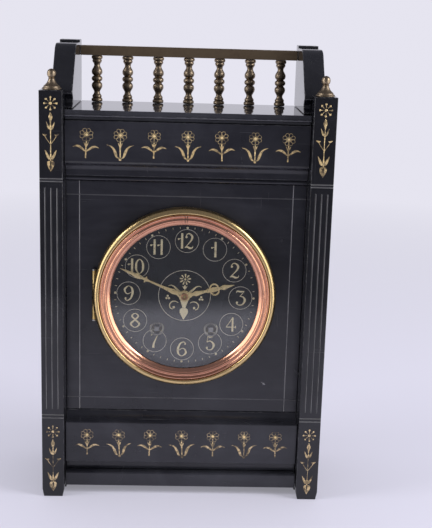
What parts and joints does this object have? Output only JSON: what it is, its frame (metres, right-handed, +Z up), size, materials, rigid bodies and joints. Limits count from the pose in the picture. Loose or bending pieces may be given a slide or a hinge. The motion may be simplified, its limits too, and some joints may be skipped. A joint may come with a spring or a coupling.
{
  "type": "mantel clock",
  "caption": "Black slate mantel clock with fluted pilasters, brass gallery and finials, hinged round bezel, gilt hands and a striking pendulum movement.",
  "frame": {"origin": "on the table under the middle of the clock's bounding box", "axes": "+X to the right seen from the front, -Y is the front, +Z up"},
  "size_m": [0.2108, 0.0954, 0.3406],
  "materials": {
    "slate": "polished black slate with incised lines and gilt decoration",
    "old_brass": "dark lacquered brass",
    "brass": "polished brass",
    "copper": "copper-coloured lacquered brass",
    "gilt": "gilt brass",
    "steel": "plain steel",
    "blued_steel": "blued spring steel",
    "bell_metal": "turned bell metal",
    "dial_black": "glossy black paint with gilt figures",
    "glass": "clear flat glass"
  },
  "bodies": {
    "case": {"plinth_slab": "slate", "lower_frieze": "slate", "front_panel": "slate", "upper_frieze": "slate", "top_slab": "slate", "back_panel": "slate", "side_panel_left": "slate", "side_panel_right": "slate", "pilaster_left": "slate", "pilaster_right": "slate", "scroll_bracket_left": "slate", "scroll_bracket_right": "slate", "gallery_rail": "old_brass", "baluster_1": "old_brass", "baluster_2": "old_brass", "baluster_3": "old_brass", "baluster_4": "old_brass", "baluster_5": "old_brass", "baluster_6": "old_brass", "baluster_7": "old_brass", "finial_left": "old_brass", "finial_right": "old_brass", "winding_collet_left": "old_brass", "winding_collet_right": "old_brass", "bezel_mount": "brass", "front_plate": "brass", "back_plate": "brass", "suspension_cock": "brass", "rear_ring": "brass", "bezel_hinge_pin": "steel", "bell_stand": "steel", "suspension_spring": "blued_steel", "bell": "bell_metal", "dial": "dial_black"},
    "bezel_door": {"bezel_ring": "brass", "sight_ring": "copper", "bezel_glass": "glass"},
    "minute_works": {"centre_wheel": "brass", "cannon_pinion": "steel", "minute_hand": "gilt", "hand_collet": "gilt"},
    "minute_wheel_body": {"minute_wheel": "brass"},
    "hour_works": {"hour_wheel": "brass", "hour_hand": "gilt"},
    "third_wheel_body": {"third_wheel": "brass"},
    "escape_wheel_body": {"escape_wheel": "brass"},
    "intermediate_body": {"intermediate_wheel": "brass"},
    "going_barrel_body": {"going_barrel": "brass"},
    "strike_barrel_body": {"strike_barrel": "brass"},
    "pin_wheel_body": {"strike_pin_wheel": "brass"},
    "warning_wheel_body": {"strike_warning_wheel": "brass"},
    "fly_body": {"strike_fly": "steel"},
    "anchor_body": {"anchor": "steel"},
    "pendulum": {"pendulum_rod": "brass", "pendulum_bob": "brass"},
    "rating_nut_body": {"rating_nut": "brass"},
    "hammer_body": {"hammer": "steel"},
    "going_winder": {"going_winding_arbor": "steel"},
    "strike_winder": {"strike_winding_arbor": "steel"},
    "rear_door_body": {"rear_door": "brass"}
  },
  "joints": [
    {"name": "bezel_hinge", "type": "hinge", "parent": "case", "child": "bezel_door", "pos_m": [-0.0676, -0.03075, 0.1556], "axis": [0, 0, -1], "range_deg": [0, 105]},
    {"name": "minute_turn", "type": "hinge", "parent": "case", "child": "minute_works", "pos_m": [0, 0.00225, 0.1556], "axis": [0, 1, 0], "continuous": true},
    {"name": "minute_wheel_turn", "type": "hinge", "parent": "case", "child": "minute_wheel_body", "pos_m": [-0.0096, 0.00225, 0.1556], "axis": [0, 1, 0], "continuous": true},
    {"name": "hour_turn", "type": "hinge", "parent": "case", "child": "hour_works", "pos_m": [0, 0.00225, 0.1556], "axis": [0, 1, 0], "continuous": true},
    {"name": "third_turn", "type": "hinge", "parent": "case", "child": "third_wheel_body", "pos_m": [0.0078, 0.00225, 0.16911], "axis": [0, 1, 0], "continuous": true},
    {"name": "escape_turn", "type": "hinge", "parent": "case", "child": "escape_wheel_body", "pos_m": [0, 0.00225, 0.17807], "axis": [0, 1, 0], "continuous": true},
    {"name": "intermediate_turn", "type": "hinge", "parent": "case", "child": "intermediate_body", "pos_m": [0.01696, 0.00225, 0.15128], "axis": [0, 1, 0], "continuous": true},
    {"name": "going_barrel_turn", "type": "hinge", "parent": "case", "child": "going_barrel_body", "pos_m": [0.0205, 0.00225, 0.1293], "axis": [0, 1, 0], "continuous": true},
    {"name": "strike_barrel_turn", "type": "hinge", "parent": "case", "child": "strike_barrel_body", "pos_m": [-0.0205, 0.00225, 0.1293], "axis": [0, 1, 0], "continuous": true},
    {"name": "pin_wheel_turn", "type": "hinge", "parent": "case", "child": "pin_wheel_body", "pos_m": [-0.01696, 0.00225, 0.15128], "axis": [0, 1, 0], "continuous": true},
    {"name": "warning_turn", "type": "hinge", "parent": "case", "child": "warning_wheel_body", "pos_m": [-0.01199, 0.00225, 0.16806], "axis": [0, 1, 0], "continuous": true},
    {"name": "fly_turn", "type": "hinge", "parent": "case", "child": "fly_body", "pos_m": [-0.01991, 0.00225, 0.17597], "axis": [0, 1, 0], "continuous": true},
    {"name": "pendulum_swing", "type": "hinge", "parent": "case", "child": "pendulum", "pos_m": [0, 0.02525, 0.19009], "axis": [0, 1, 0], "range_deg": [-4.5, 4.5]},
    {"name": "anchor_rock", "type": "hinge", "parent": "case", "child": "anchor_body", "pos_m": [0, 0.00225, 0.19009], "axis": [0, 1, 0], "range_deg": [-4.5, 4.5]},
    {"name": "rating_turn", "type": "hinge", "parent": "pendulum", "child": "rating_nut_body", "pos_m": [0, 0.02525, 0.02929], "axis": [0, 0, 1], "continuous": true},
    {"name": "hammer_lift", "type": "hinge", "parent": "case", "child": "hammer_body", "pos_m": [-0.0275, 0.00225, 0.1696], "axis": [0, 1, 0], "range_deg": [-1, 20], "stiffness_Nm_per_rad": 0.002},
    {"name": "going_wind", "type": "hinge", "parent": "case", "child": "going_winder", "pos_m": [0.0205, 0.00225, 0.1293], "axis": [0, 1, 0], "continuous": true},
    {"name": "strike_wind", "type": "hinge", "parent": "case", "child": "strike_winder", "pos_m": [-0.0205, 0.00225, 0.1293], "axis": [0, 1, 0], "continuous": true},
    {"name": "rear_hinge", "type": "hinge", "parent": "case", "child": "rear_door_body", "pos_m": [-0.0602, 0.04495, 0.1556], "axis": [0, 0, 1], "range_deg": [0, 120]}
  ],
  "couplings": [
    {"joint": "minute_wheel_turn", "follows": "minute_turn", "ratio": -0.33333},
    {"joint": "hour_turn", "follows": "minute_turn", "ratio": 0.083333},
    {"joint": "third_turn", "follows": "minute_turn", "ratio": -12},
    {"joint": "escape_turn", "follows": "minute_turn", "ratio": 120},
    {"joint": "intermediate_turn", "follows": "minute_turn", "ratio": -0.16667},
    {"joint": "going_barrel_turn", "follows": "minute_turn", "ratio": 0.027778},
    {"joint": "pin_wheel_turn", "follows": "strike_barrel_turn", "ratio": -6},
    {"joint": "warning_turn", "follows": "strike_barrel_turn", "ratio": 36},
    {"joint": "fly_turn", "follows": "strike_barrel_turn", "ratio": -216},
    {"joint": "anchor_rock", "follows": "pendulum_swing", "ratio": 1}
  ]
}
